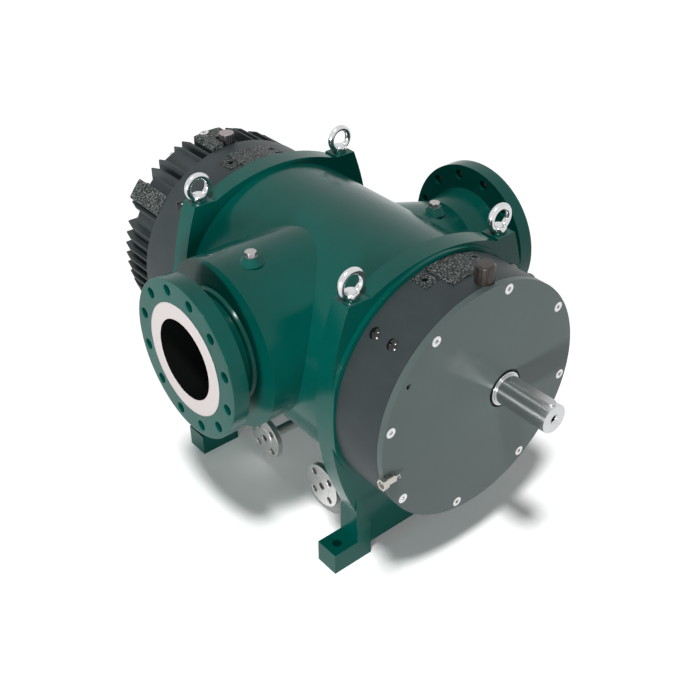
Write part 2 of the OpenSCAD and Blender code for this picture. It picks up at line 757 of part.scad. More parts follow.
// Finned rear cover: a rim, a hollow drum, upright fins, bolt bosses, shoulder blocks and the filler's block
module rear_finned_cover() color(cast_dark) mirror([1, 0, 0]) difference() {
    union() {
        bar_x(rim_in, rim_out, housing_r - 2);
        bar_x(rim_out - past, rim_out + drum_depth, drum_r);
        both_sides() {
            for (k = fin_places) fin(fin_y(k));
            above_and_below() {
                rim_block(fin_y(3), fin_y(5), drum_depth, bolt_boss_r);
                rim_block(fin_y(6), shoulder_in + past, drum_depth, bolt_boss_r);
                rim_block(shoulder_in, shoulder_out, fin_reach + 3, fin_r);
            }
        }
        rim_block(-cap_block_left, cap_block_right, cap_block_length, cap_block_r);
    }
    bar_x(rim_in - past, rim_out + drum_depth - drum_wall, drum_r - drum_wall);
    translate([rear_cap_x, 0, shaft_height + drum_r - drum_wall - 10])
        cylinder(h = drum_wall + 80, r = cap_spigot_r + fit);
    translate([rear_cap_x, 0, rear_cap_seat]) cylinder(h = rear_cap_h, r = rear_cap_r + neck_gap);
    rear_screw_places(rim_in) translate([0, 0, -past])
        cylinder(h = rim_t + drum_depth + 2 * past + gasket_t, r = rear_bolt_r + fit);
}

module rear_cover_screws() color(bright_steel) mirror([1, 0, 0]) rear_screw_places(rim_out + drum_depth) {
    translate([0, 0, -rim_t - drum_depth - 20]) cylinder(h = rim_t + drum_depth + 20 + past, r = rear_bolt_r);
    difference() {
        cylinder(h = 9, r = rear_bolt_r + 3);
        translate([0, 0, 4]) cylinder(h = 5 + past, r = 3.6, $fn = 6);
    }
}

// Hexagonal breather plug on the block behind the rear filler cap
module rear_hex_plug() color(bright_steel) mirror([1, 0, 0])
    on_rim(rear_plug_back, rear_plug_angle, cap_block_r) difference() {
        cylinder(h = 8, r = 13, $fn = 6);
        translate([0, 0, 2]) cylinder(h = 8, r = 5.5);
    }

// Ring eyebolt with a collar and a plain shank
module eyebolt() {
    translate([0, 0, eye_rise]) rotate([0, 90, 0]) rotate_extrude() translate([eye_ring_r, 0]) circle(r = eye_bar_r);
    difference() {
        union() {
            cylinder(h = eye_collar_h, r = eye_collar_r);
            translate([0, 0, eye_collar_h]) cylinder(h = eye_bar_r, r1 = eye_collar_r - 3, r2 = eye_bar_r);
        }
        translate([0, 0, eye_rise]) rotate([0, 90, 0]) translate([0, 0, -40]) cylinder(h = 80, r = eye_ring_r - eye_bar_r);
    }
    translate([0, 0, -30]) cylinder(h = 30 + past, r = eye_shank_r);
}

module eyebolt_at(end, side) color(bright_steel) translate([end * plate_mid, side * eye_y, pad_top]) eyebolt();

module eyebolt_front_suction() eyebolt_at(1, -1);
module eyebolt_front_discharge() eyebolt_at(1, 1);
module eyebolt_rear_suction() eyebolt_at(-1, -1);
module eyebolt_rear_discharge() eyebolt_at(-1, 1);

// Hexagon head plug in a vent boss
module vent_plug() {
    translate([0, 0, -vent_shank_h]) cylinder(h = vent_shank_h + past, r = vent_shank_r);
    cylinder(h = 1.5, r = 14.2);
    translate([0, 0, 1.4]) intersection() {
        cylinder(h = 9.6, r = 14.5, $fn = 6);
        cylinder(h = 9.6, r1 = 18, r2 = 12.6);
    }
}

module suction_vent_plug() color(bright_steel)
    translate([vent_x, -suction_vent_y, nozzle_height + barrel_r + vent_boss_h]) vent_plug();

module discharge_vent_plug() color(bright_steel)
    translate([vent_x, discharge_vent_y, discharge_crown + vent_boss_h]) vent_plug();

// Stainless drain: a flange, a tapered hub, a pipe under the shell and an elbow up into it
module drain_pipe() difference() {
    union() {
        translate([0, -drain_reach, drain_height]) rotate([-90, 0, 0]) {
            cylinder(h = 1.6 + past, r = drain_pcd_r - drain_hole_r - 8);
            translate([0, 0, 1.6]) cylinder(h = drain_flange_t, r = drain_flange_r);
            cylinder(h = drain_flange_t + 26, r1 = 30, r2 = drain_pipe_r);
            cylinder(h = drain_reach - drain_elbow_r, r = drain_pipe_r);
        }
        translate([0, -drain_elbow_r, drain_height + drain_elbow_r]) rotate([0, 90, 0])
            drain_elbow(drain_pipe_r);
        translate([0, 0, drain_height + drain_elbow_r])
            cylinder(h = shaft_height - shell_in_r - drain_height - drain_elbow_r - 1, r = drain_pipe_r);
    }
    translate([0, -drain_reach - past, drain_height]) rotate([-90, 0, 0])
        cylinder(h = drain_reach - drain_elbow_r + past, r = drain_bore_r);
    translate([0, -drain_elbow_r, drain_height + drain_elbow_r]) rotate([0, 90, 0]) drain_elbow(drain_bore_r);
    translate([0, 0, drain_height + drain_elbow_r])
        cylinder(h = shaft_height, r = drain_bore_r);
    for (k = [0:3])
        translate([0, 0, drain_height]) rotate([0, 45 + 90 * k, 0])
            translate([0, -drain_reach - past, drain_pcd_r]) rotate([-90, 0, 0])
                cylinder(h = drain_flange_t + 4 + past, r = drain_hole_r);
}

// Quarter bend from +Y up to +Z
module drain_elbow(r) rotate_extrude(angle = 90) translate([drain_elbow_r, 0]) circle(r = r);

module front_drain() color(bright_steel) translate([drain_x, 0, 0]) drain_pipe();

module rear_drain() color(bright_steel) translate([-drain_x, 0, 0]) drain_pipe();

// Cylindrical roller bearing: outer ring with a lip and its rollers, drawn for the front
roller_r = (bearing_outer_r - bearing_seat_r) * 0.22;
roller_pitch_r = (bearing_outer_r + bearing_seat_r) / 2 + 0.5;
module bearing_outer(y) {
    ring_x(bearing_in, bearing_w, bearing_outer_r - fit, roller_pitch_r + roller_r + 0.1, y);
    for (k = [0:rollers - 1]) along_x(bearing_in + 4, y) rotate([0, 0, k * 360 / rollers])
        translate([roller_pitch_r, 0, 0]) cylinder(h = bearing_w - 8, r = roller_r);
}

module bearing_inner(y) ring_x(bearing_in, bearing_w, roller_pitch_r - roller_r - 0.1, bearing_seat_r, y);

module drive_front_bearing() color(dull_steel) bearing_outer(drive_y);
module driven_front_bearing() color(dull_steel) bearing_outer(driven_y);
module drive_rear_bearing() color(dull_steel) mirror([1, 0, 0]) bearing_outer(drive_y);
module driven_rear_bearing() color(dull_steel) mirror([1, 0, 0]) bearing_outer(driven_y);
module drive_front_inner_ring() color(dull_steel) bearing_inner(drive_y);
module driven_front_inner_ring() color(dull_steel) bearing_inner(driven_y);
module drive_rear_inner_ring() color(dull_steel) mirror([1, 0, 0]) bearing_inner(drive_y);
module driven_rear_inner_ring() color(dull_steel) mirror([1, 0, 0]) bearing_inner(driven_y);

// Mechanical seals: fixed seats in the end plates, heads that turn with the shafts
module seal_seats() for (y = [drive_y, driven_y])
    ring_x(seal_head_out, seal_seat_t, seal_chamber_r + 4 - fit, seal_seat_r + 1.5, y);

module front_seal_seats() color(dull_steel) seal_seats();
module rear_seal_seats() color(dull_steel) mirror([1, 0, 0]) seal_seats();

module seal_heads(y) both_ends() {
    ring_x(seal_head_in, seal_head_out - seal_head_in - 12, seal_seat_r + 12, seal_seat_r, y);
    ring_x(seal_head_out - 12.5, 12.2, seal_seat_r + 8, seal_seat_r, y);
}

module drive_seal_heads() color(bronze) seal_heads(drive_y);
module driven_seal_heads() color(bronze) seal_heads(driven_y);

// Slotted nuts that hold the bearings and the gears
module lock_nut(x, y, r) difference() {
    ring_x(x, nut_t - 4, r + 11, r, y);
    for (k = [0:3]) along_x(x - past, y) rotate([0, 0, 90 * k]) translate([r + 7, -4, 0]) cube([8, 8, nut_t]);
}

module lock_nuts(y) {
    lock_nut(bearing_out, y, bearing_seat_r);
    mirror([1, 0, 0]) lock_nut(gear_out, y, bearing_seat_r - 1.5);
}

module drive_lock_nuts() color(dull_steel) lock_nuts(drive_y);
module driven_lock_nuts() color(dull_steel) lock_nuts(driven_y);

// Stepped shaft between the outer ends of its two gear and bearing sides
module shaft_core(y, front_tip) {
    bar_x(-insert_half, insert_half, screw_seat_r, y);
    both_ends() bar_x(insert_half - past, bearing_in, seal_seat_r, y);
    bar_x(bearing_in - past, front_tip, bearing_seat_r, y);
    mirror([1, 0, 0]) bar_x(bearing_in - past, gear_in, bearing_seat_r, y);
    mirror([1, 0, 0]) bar_x(gear_in - past, shaft_tail, bearing_seat_r - 1.5, y);
}

// Key seat with round ends, seen from above
module key_outline(grow = 0) {
    reach = key_length / 2 - key_w / 2;
    for (end = [-1, 1]) translate([end * reach, 0]) circle(r = key_w / 2 + grow);
    square([2 * reach, key_w + 2 * grow], center = true);
}

key_mid = shaft_tip - 5 - key_length / 2;
key_depth = 7.5;

module drive_shaft() color(bright_steel) difference() {
    union() {
        shaft_core(drive_y, shaft_face);
        bar_x(shaft_face - past, shaft_tip - 2, shaft_end_r, drive_y);
        along_x(shaft_tip - 2, drive_y) cylinder(h = 2, r1 = shaft_end_r, r2 = shaft_end_r - 2);
    }
    translate([key_mid, drive_y, shaft_height + shaft_end_r - key_depth]) linear_extrude(key_depth + past) key_outline();
    bar_x(shaft_tip - 42, shaft_tip + past, 8.75, drive_y);
    along_x(shaft_tip - 5, drive_y) cylinder(h = 5 + fit, r1 = 8.75, r2 = 13);
}

module drive_key() color(bright_steel)
    translate([key_mid, drive_y, shaft_height + shaft_end_r - key_depth])
        linear_extrude(key_depth + key_stand) key_outline(-fit);

module driven_shaft() color(dull_steel) shaft_core(driven_y, bearing_out + nut_t);

// Sleeve that the lip seal runs on
module shaft_sleeve() color(bright_steel) ring_x(sleeve_in, sleeve_out - sleeve_in, sleeve_r, bearing_seat_r, drive_y);

// Section of a screw: a tip arc, two flanks and a root arc. The lobe's half width stays below the angle
// at which both screws could stand in the space that their tip circles share.
tip_half = 44;
flank_end = 54;
function screw_section() = concat(
    [for (k = [0:5]) screw_tip_r * [cos(-tip_half + k * tip_half / 2.5), sin(-tip_half + k * tip_half / 2.5)]],
    [for (k = [0:11]) let (a = flank_end + k * (360 - 2 * flank_end) / 11) screw_root_r * [cos(a), sin(a)]]);

module screw(y) difference() {
    along_x(screw_centre_gap, y)
        linear_extrude(height = screw_length, twist = 360 * screw_length / screw_lead,
            slices = round(screw_length / screw_lead * 20), $fn = 24) polygon(screw_section());
    bar_x(screw_centre_gap - past, screw_centre_gap + screw_length + past, screw_seat_r + fit, y);
}

// The driven screws are the drive screws turned upside down in a mirror, so the lobes mesh
module upside_down() translate([0, 0, 2 * shaft_height]) mirror([0, 0, 1]) children();

module drive_screw_front() color(bronze) screw(drive_y);
module drive_screw_rear() color(bronze) mirror([1, 0, 0]) screw(drive_y);
module driven_screw_front() color(bronze) upside_down() screw(driven_y);
module driven_screw_rear() color(bronze) mirror([1, 0, 0]) upside_down() screw(driven_y);

// Involute timing gear with a little backlash
pressure = 20;
pitch_r = centre_distance / 2;
base_r = pitch_r * cos(pressure);
gear_tip_r = pitch_r + gear_module;
gear_root_r = pitch_r - 1.25 * gear_module;
backlash = 0.12;
function inv(a) = tan(a) - a * PI / 180;
function half_tooth(r) = (90 / gear_teeth) - backlash / pitch_r * 180 / PI
    + (inv(pressure) - inv(acos(min(1, base_r / r)))) * 180 / PI;
function gear_section() = [for (k = [0:gear_teeth - 1], p = [0:7])
    let (step = p < 4 ? p : 7 - p, r = step == 0 ? gear_root_r : base_r + (gear_tip_r - base_r) * step / 3,
        a = k * 360 / gear_teeth + (p < 4 ? -1 : 1) * half_tooth(max(r, base_r + 0.01)))
    r * [cos(a), sin(a)]];

module timing_gear(y, turn) mirror([1, 0, 0]) difference() {
    along_x(gear_in, y) rotate([0, 0, turn]) linear_extrude(gear_width) polygon(gear_section());
    bar_x(gear_in - past, gear_out + past, bearing_seat_r - 1.5, y);
    for (x = [gear_in - past, gear_out - 10]) ring_x(x, 10 + past, gear_root_r - 8, bearing_seat_r + 12, y);
}

module drive_gear() color(dull_steel) timing_gear(drive_y, 90);
module driven_gear() color(dull_steel) timing_gear(driven_y, 90 + 180 / gear_teeth);

// Fluted filler cap with a spigot that drops into the housing
module filler_cap(r, h, flutes, top_r) difference() {
    union() {
        translate([0, 0, -cap_spigot_h]) cylinder(h = cap_spigot_h + past, r = cap_spigot_r - 0.3);
        cylinder(h = h - 6, r = r);
        translate([0, 0, h - 6]) cylinder(h = 6, r1 = r, r2 = top_r);
    }
    for (k = [0:flutes - 1]) rotate([0, 0, k * 360 / flutes]) translate([r + 1.4, 0, 6])
        cylinder(h = h, r = 2.6);
}

module front_filler_cap() color(cap_brown)
    translate([front_cap_x, front_cap_y, front_cap_seat]) filler_cap(front_cap_r, front_cap_h, 10, front_cap_r - 4);

module rear_filler_cap() color(cap_brown)
    translate([-rear_cap_x, 0, rear_cap_seat]) filler_cap(rear_cap_r, rear_cap_h, 20, rear_cap_r - 1);

front_end_plate();
rear_end_plate();
body_shell();
suction_barrel();
suction_flange();
discharge_flange();
pump_insert();
front_insert_web();
rear_insert_web();
front_bearing_housing();
front_housing_gasket();
front_cover();
front_cover_gasket();
front_cover_screws();
shaft_lip_seal();
front_oil_plugs();
drain_valve_body();
drain_valve_handle();
rear_gear_housing();
rear_housing_gasket();
rear_finned_cover();
rear_cover_gasket();
rear_cover_screws();
rear_hex_plug();
rear_oil_plugs();
eyebolt_front_suction();
eyebolt_front_discharge();
eyebolt_rear_suction();
eyebolt_rear_discharge();
suction_vent_plug();
discharge_vent_plug();
front_drain();
rear_drain();
drive_front_bearing();
driven_front_bearing();
drive_rear_bearing();
driven_rear_bearing();
front_seal_seats();
rear_seal_seats();
front_filler_cap();
rear_filler_cap();
drive_shaft();
drive_key();
shaft_sleeve();
drive_screw_front();
drive_screw_rear();
drive_gear();
drive_front_inner_ring();
drive_rear_inner_ring();
drive_seal_heads();
drive_lock_nuts();
driven_shaft();
driven_screw_front();
driven_screw_rear();
driven_gear();
driven_front_inner_ring();
driven_rear_inner_ring();
driven_seal_heads();
driven_lock_nuts();
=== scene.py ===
# %% [markdown]
# The frame comes first. Every solid of the pump arrives at its real place and size, in metres, with +X
# towards the drive end, -Y towards the suction port and +Z up. Nothing is moved: the looks are built round
# it.

# %% Load the frame
import json
import math

import bmesh
import bpy
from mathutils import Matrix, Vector


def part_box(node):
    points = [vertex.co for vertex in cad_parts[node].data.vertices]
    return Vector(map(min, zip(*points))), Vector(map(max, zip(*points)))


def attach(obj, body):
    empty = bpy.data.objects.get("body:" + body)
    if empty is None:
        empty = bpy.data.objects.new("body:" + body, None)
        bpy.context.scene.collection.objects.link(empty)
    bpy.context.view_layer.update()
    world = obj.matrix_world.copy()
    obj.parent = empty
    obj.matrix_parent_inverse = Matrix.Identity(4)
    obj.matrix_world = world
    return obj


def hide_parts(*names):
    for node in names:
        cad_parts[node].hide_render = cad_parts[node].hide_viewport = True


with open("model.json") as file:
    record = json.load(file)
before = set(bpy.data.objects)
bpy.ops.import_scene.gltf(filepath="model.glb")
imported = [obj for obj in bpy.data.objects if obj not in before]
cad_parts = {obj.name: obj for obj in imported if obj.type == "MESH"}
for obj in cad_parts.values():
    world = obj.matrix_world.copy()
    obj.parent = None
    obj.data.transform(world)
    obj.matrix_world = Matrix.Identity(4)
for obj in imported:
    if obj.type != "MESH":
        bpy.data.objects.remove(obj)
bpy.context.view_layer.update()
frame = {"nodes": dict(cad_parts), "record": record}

nodes = frame["nodes"]

# %% [markdown]
# Four places are measured on the solids, and the finishes and the rear cover's pieces start from them: the
# height of the two shafts, the height of the two ports and the face of each port's flange.

# %% Measure the pump
shell_low, shell_high = (Vector(corner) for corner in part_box("body_shell"))
flange_low, flange_high = (Vector(corner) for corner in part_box("suction_flange"))
discharge_high = Vector(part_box("discharge_flange")[1])
SHAFT_Z = (shell_low.z + shell_high.z) / 2
PORT_Z = (flange_low.z + flange_high.z) / 2
SUCTION_FACE = flange_low.y
DISCHARGE_FACE = discharge_high.y
print(f"shafts {SHAFT_Z:.3f} m high, ports {PORT_Z:.3f} m high")

# %% [markdown]
# The camera looks down on the drive end and the suction side, as a catalogue picture does. Its place and
# its lens were fitted together. It stands about 2.6 m from the pump's middle, because the cover would
# swell against the ports if it stood closer.

# %% Camera
AZIMUTH = 50.03
ELEVATION = 35.4
LENS_MM = 52.64
CAMERA_PLACE = (1.626, -1.347, 1.852)
SENSOR_MM = 36

camera_data = bpy.data.cameras.new("camera")
camera_data.sensor_width = SENSOR_MM
camera_data.sensor_fit = "HORIZONTAL"
camera_data.lens = LENS_MM
camera = bpy.data.objects.new("camera", camera_data)
camera.location = CAMERA_PLACE
camera.rotation_euler = (math.radians(90 - ELEVATION), 0, math.radians(AZIMUTH))
bpy.context.scene.collection.objects.link(camera)
bpy.context.scene.camera = camera
bpy.context.scene.view_settings.view_transform = "Standard"
print("camera lens", LENS_MM, "mm at", CAMERA_PLACE)

# %% [markdown]
# A material is a small tree of nodes. These helpers add one node, give it its settings and join its
# sockets, so that each finish below reads as a short recipe. Noise keeps to the middle of its range, so
# the helper that turns it into a roughness or a mix stretches that middle.

# %% Node helpers
NOISE_LOW = 0.3
NOISE_HIGH = 0.7


def add_node(tree, kind, sockets=None, **settings):
    made = tree.nodes.new(kind)
    for key, value in settings.items():
        setattr(made, key, value)
    for key, value in (sockets or {}).items():
        if isinstance(value, bpy.types.NodeSocket):
            tree.links.new(value, made.inputs[key])
        else:
            made.inputs[key].default_value = value
    return made


def start_finish(name, colour, roughness, metallic=0.0):
    material = bpy.data.materials.new(name)
    material.use_nodes = True
    tree = material.node_tree
    shader = tree.nodes["Principled BSDF"]
    shader.inputs["Base Color"].default_value = (*colour, 1)
    shader.inputs["Roughness"].default_value = roughness
    shader.inputs["Metallic"].default_value = metallic
    place = add_node(tree, "ShaderNodeTexCoord").outputs["Object"]
    return material, tree, shader, place


def grain(tree, place, scale, detail=3.0):
    sockets = {"Vector": place, "Scale": scale, "Detail": detail}
    return add_node(tree, "ShaderNodeTexNoise", sockets).outputs["Fac"]


def math_node(tree, operation, first, second=0.0):
    return add_node(tree, "ShaderNodeMath", {0: first, 1: second}, operation=operation).outputs[0]


def remap(tree, value, low, high, to_low=0.0, to_high=1.0):
    sockets = {"Value": value, "From Min": low, "From Max": high, "To Min": to_low, "To Max": to_high}
    return add_node(tree, "ShaderNodeMapRange", sockets).outputs["Result"]


def grain_between(tree, place, scale, low=0.0, high=1.0):
    return remap(tree, grain(tree, place, scale), NOISE_LOW, NOISE_HIGH, low, high)


def blend(tree, factor, first, second):
    made = add_node(tree, "ShaderNodeMix", {0: factor}, data_type="RGBA")
    for socket, colour in ((made.inputs[6], first), (made.inputs[7], second)):
        if isinstance(colour, bpy.types.NodeSocket):
            tree.links.new(colour, socket)
        else:
            socket.default_value = (*colour, 1)
    return made.outputs[2]


def bump(tree, shader, height, strength, distance):
    sockets = {"Height": height, "Strength": strength, "Distance": distance}
    made = add_node(tree, "ShaderNodeBump", sockets)
    tree.links.new(made.outputs["Normal"], shader.inputs["Normal"])


def distance_from_axis(tree, place, axis, height):
    parts = add_node(tree, "ShaderNodeSeparateXYZ", {0: place}).outputs
    across = parts["X"] if axis == "Y" else parts["Y"]
    up = math_node(tree, "SUBTRACT", parts["Z"], height)
    squares = [math_node(tree, "MULTIPLY", value, value) for value in (across, up)]
    return math_node(tree, "SQRT", math_node(tree, "ADD", squares[0], squares[1])), parts


print("node helpers ready")

# %% [markdown]
# The casing is sprayed with a gloss machine enamel. Real enamel isn't flat: it has a fine orange peel and
# settles a little darker in places. Both come from noise measured in metres, so the grain has its true
# size. Its specular level is low, because the white room would otherwise wash out the dark green.

# %% Casing enamel
PAINT = (0.000, 0.094, 0.076)
PAINT_DEEP = (0.000, 0.076, 0.061)
PAINT_SPECULAR = 0.18
PAINT_ROUGHNESS = 0.3
GLOSS_LOW = 0.17
GLOSS_HIGH = 0.25
SETTLE_SCALE = 7
GLOSS_SCALE = 18
PEEL_SCALE = 420
PEEL_STRENGTH = 0.05
PEEL_DEPTH = 0.0004


def enamel(name):
    material, tree, shader, place = start_finish(name, PAINT, PAINT_ROUGHNESS)
    shader.inputs["Specular IOR Level"].default_value = PAINT_SPECULAR
    colour = blend(tree, grain_between(tree, place, SETTLE_SCALE), PAINT_DEEP, PAINT)
    tree.links.new(colour, shader.inputs["Base Color"])
    gloss = grain_between(tree, place, GLOSS_SCALE, GLOSS_LOW, GLOSS_HIGH)
    tree.links.new(gloss, shader.inputs["Roughness"])
    bump(tree, shader, grain(tree, place, PEEL_SCALE, 2), PEEL_STRENGTH, PEEL_DEPTH)
    return material, tree, shader, place, colour


casing_enamel = enamel("casing_enamel")[0]
print("made", casing_enamel.name)

# %% [markdown]
# A flange is painted outside, but its sealing face is left bare and turned, and its bore gets a near-black
# painted shade. One material does all three, by the distance from the port's axis and the depth behind
# the face, because the solid is one piece.

# %% Flange finish
FACE_GREY = (0.66, 0.61, 0.60)
# The bore's colour is painted shade: a near-black that stands in for the shade deep inside the port.
BORE_PAINTED_SHADE = (0.006, 0.007, 0.007)
FACE_RADIUS = 0.1352
BORE_RADIUS = 0.0985
FACE_DEPTH = 0.0014
BORE_DEPTH = 0.0006


def flange_finish(name, face):
    material, tree, shader, place, colour = enamel(name)
    radius, parts = distance_from_axis(tree, place, "Y", PORT_Z)
    depth = math_node(tree, "ABSOLUTE", math_node(tree, "SUBTRACT", parts["Y"], face))
    near_face = math_node(tree, "LESS_THAN", depth, FACE_DEPTH)
    in_face = math_node(tree, "LESS_THAN", radius, FACE_RADIUS)
    bare = math_node(tree, "MULTIPLY", near_face, in_face)
    inside = math_node(tree, "LESS_THAN", radius, BORE_RADIUS)
    with_face = blend(tree, bare, colour, FACE_GREY)
    # Inside the bore and behind the face, the near-black painted shade is laid on.
    deep_enough = math_node(tree, "GREATER_THAN", depth, BORE_DEPTH)
    bore_shade_mask = math_node(tree, "MULTIPLY", inside, deep_enough)
    tree.links.new(blend(tree, bore_shade_mask, with_face, BORE_PAINTED_SHADE), shader.inputs["Base Color"])
    return material


suction_finish = flange_finish("suction_flange_finish", SUCTION_FACE)
discharge_finish = flange_finish("discharge_flange_finish", DISCHARGE_FACE)
print("flange faces at", round(SUCTION_FACE, 3), round(DISCHARGE_FACE, 3))

# %% [markdown]
# The two bearing housings are grey iron under a thin dark coat. Where they were never machined, on the
# land along the top, the sand of the mould shows as a coarse grain with light flecks. The land stands a
# little proud of the turned rim, so it is found by its distance from the middle axis, halfway between the
# shafts.

# %% Housing coat
HOUSING_DARK = (0.029, 0.038, 0.040)
HOUSING_LIGHT = (0.044, 0.056, 0.059)
FLECK = (0.20, 0.23, 0.22)
CASTING_DARK = (0.012, 0.015, 0.015)
HOUSING_R = 0.290
HOUSING_SPECULAR = 0.18
HOUSING_ROUGHNESS = 0.46
LAND_PROUD = 0.0007
BLOCK_BELOW = 0.0025
SHADE_SCALE = 22
FLECK_SCALE = 270
FLECK_LOW = 0.53
FLECK_HIGH = 0.60
FINE_SCALE = 500
FINE_SHARE = 0.25
COARSE_SCALE = 210
CAST_STRENGTH = 0.5
CAST_DEPTH = 0.0015


def housing_coat(name, rough_beyond):
    material, tree, shader, place = start_finish(name, HOUSING_DARK, HOUSING_ROUGHNESS)
    shader.inputs["Specular IOR Level"].default_value = HOUSING_SPECULAR
    radius, _ = distance_from_axis(tree, place, "X", SHAFT_Z)
    land = math_node(tree, "GREATER_THAN", radius, rough_beyond)
    colour = blend(tree, grain(tree, place, SHADE_SCALE), HOUSING_DARK, HOUSING_LIGHT)
    flecks = remap(tree, grain(tree, place, FLECK_SCALE, 2), FLECK_LOW, FLECK_HIGH)
    speckled = math_node(tree, "MULTIPLY", flecks, land)
    ground = blend(tree, land, colour, CASTING_DARK)
    tree.links.new(blend(tree, speckled, ground, FLECK), shader.inputs["Base Color"])
    fine = math_node(tree, "MULTIPLY", grain(tree, place, FINE_SCALE, 2), FINE_SHARE)
    coarse = math_node(tree, "MULTIPLY", grain(tree, place, COARSE_SCALE, 4), land)
    bump(tree, shader, math_node(tree, "ADD", fine, coarse), CAST_STRENGTH, CAST_DEPTH)
    return material


housing_finish = housing_coat("housing_coat", HOUSING_R + LAND_PROUD)
rough_casting = housing_coat("rough_casting", HOUSING_R - BLOCK_BELOW)
print("made", housing_finish.name, "and", rough_casting.name)

# %% [markdown]
# The flat cover is face-turned and coated a lighter grey. The lathe leaves faint rings round the cover's
# middle, which are worth having because they turn the highlight as the cover is seen from another side.

# %% Cover coat
COVER_GREY = (0.092, 0.124, 0.119)
COVER_SHADE = (0.080, 0.110, 0.105)
COVER_SPECULAR = 0.25
COVER_ROUGHNESS = 0.38
COVER_SHADE_SCALE = 9
COVER_GRAIN_SCALE = 300
RING_RADIANS_PER_METRE = 3600
RING_STRENGTH = 0.05
RING_DEPTH = 0.0003


def cover_coat():
    material, tree, shader, place = start_finish("cover_coat", COVER_GREY, COVER_ROUGHNESS)
    shader.inputs["Specular IOR Level"].default_value = COVER_SPECULAR
    radius, _ = distance_from_axis(tree, place, "X", SHAFT_Z)
    phase = math_node(tree, "MULTIPLY", radius, RING_RADIANS_PER_METRE)
    rings = math_node(tree, "SINE", phase)
    colour = blend(tree, grain(tree, place, COVER_SHADE_SCALE), COVER_SHADE, COVER_GREY)
    tree.links.new(colour, shader.inputs["Base Color"])
    height = math_node(tree, "ADD", rings, grain(tree, place, COVER_GRAIN_SCALE, 2))
    bump(tree, shader, height, RING_STRENGTH, RING_DEPTH)
    return material


cover_finish = cover_coat()
print("made", cover_finish.name)

# %% [markdown]
# Bare metals differ mostly in colour and in how they were worked. One recipe takes both: a metal colour,
# its roughness and the scale of its tool marks.

# %% Bare metals
METAL_DARKER = 0.82
METAL_SMOOTHER = 0.8
METAL_ROUGHER = 1.25
METAL_SHADE_SCALE = 40
MARK_STRENGTH = 0.08
MARK_DEPTH = 0.0003


def bare_metal(name, colour, roughness, marks):
    material, tree, shader, place = start_finish(name, colour, roughness, 1.0)
    darker = tuple(value * METAL_DARKER for value in colour)
    shade = blend(tree, grain(tree, place, METAL_SHADE_SCALE), darker, colour)
    tree.links.new(shade, shader.inputs["Base Color"])
    low, high = roughness * METAL_SMOOTHER, roughness * METAL_ROUGHER
    tree.links.new(grain_between(tree, place, marks, low, high), shader.inputs["Roughness"])
    bump(tree, shader, grain(tree, place, marks * 2, 2), MARK_STRENGTH, MARK_DEPTH)
    return material


chrome = bare_metal("eyebolt_chrome", (0.72, 0.73, 0.74), 0.16, 150)
stainless = bare_metal("drain_stainless", (0.74, 0.73, 0.72), 0.38, 260)
screw_steel = bare_metal("screw_steel", (0.78, 0.78, 0.78), 0.25, 300)
plug_steel = bare_metal("plug_steel", (0.46, 0.44, 0.44), 0.32, 260)
shaft_steel = bare_metal("shaft_steel", (0.66, 0.67, 0.68), 0.17, 220)
key_steel = bare_metal("key_steel", (0.60, 0.60, 0.60), 0.33, 260)
valve_steel = bare_metal("valve_steel", (0.60, 0.58, 0.54), 0.3, 240)
dull_iron = bare_metal("insert_iron", (0.30, 0.30, 0.30), 0.5, 120)
bronze = bare_metal("screw_bronze", (0.55, 0.36, 0.17), 0.32, 200)
gear_steel = bare_metal("gear_steel", (0.45, 0.45, 0.46), 0.3, 200)
print("made ten bare metals")

# %% [markdown]
# Plugs, caps, gaskets and the lip seal are moulded. They are dark and differ in gloss. The rear cap has a
# light disc let into its top, which is found by its height.

# %% Moulded parts
REAR_CAP_BLACK = (0.022, 0.021, 0.022)
DISC_GREY = (0.40, 0.34, 0.34)
DISC_DEPTH = 0.0012
MOULD_LIGHTER = 1.5
MOULD_LIFT = 0.002
MOULD_SCALE = 200
MOULD_STRENGTH = 0.12
MOULD_DEPTH = 0.0004


def moulded(name, colour, roughness):
    material, tree, shader, place = start_finish(name, colour, roughness)
    lighter = tuple(value * MOULD_LIGHTER + MOULD_LIFT for value in colour)
    shade = blend(tree, grain(tree, place, MOULD_SCALE), colour, lighter)
    tree.links.new(shade, shader.inputs["Base Color"])
    bump(tree, shader, grain(tree, place, MOULD_SCALE * 2, 2), MOULD_STRENGTH, MOULD_DEPTH)
    return material, tree, shader, place


def rear_cap_finish():
    material, tree, shader, place = moulded("rear_cap_plastic", REAR_CAP_BLACK, 0.4)
    top = Vector(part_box("rear_filler_cap")[1]).z
    parts = add_node(tree, "ShaderNodeSeparateXYZ", {0: place}).outputs
    disc = math_node(tree, "GREATER_THAN", parts["Z"], top - DISC_DEPTH)
    tree.links.new(blend(tree, disc, REAR_CAP_BLACK, DISC_GREY), shader.inputs["Base Color"])
    return material


plug_black = moulded("plug_black", (0.004, 0.004, 0.004), 0.18)[0]
front_cap = moulded("front_cap_plastic", (0.014, 0.010, 0.008), 0.34)[0]
rear_cap = rear_cap_finish()
gasket = moulded("gasket_fibre", (0.030, 0.028, 0.026), 0.8)[0]
rubber = moulded("seal_rubber", (0.006, 0.006, 0.006), 0.5)[0]
print("made five moulded finishes")

# %% [markdown]
# Each solid now gets its finish through its material slots. The list goes by the record's own slot names,
# so a solid can't be forgotten: any node whose slot has no finish stops the script.

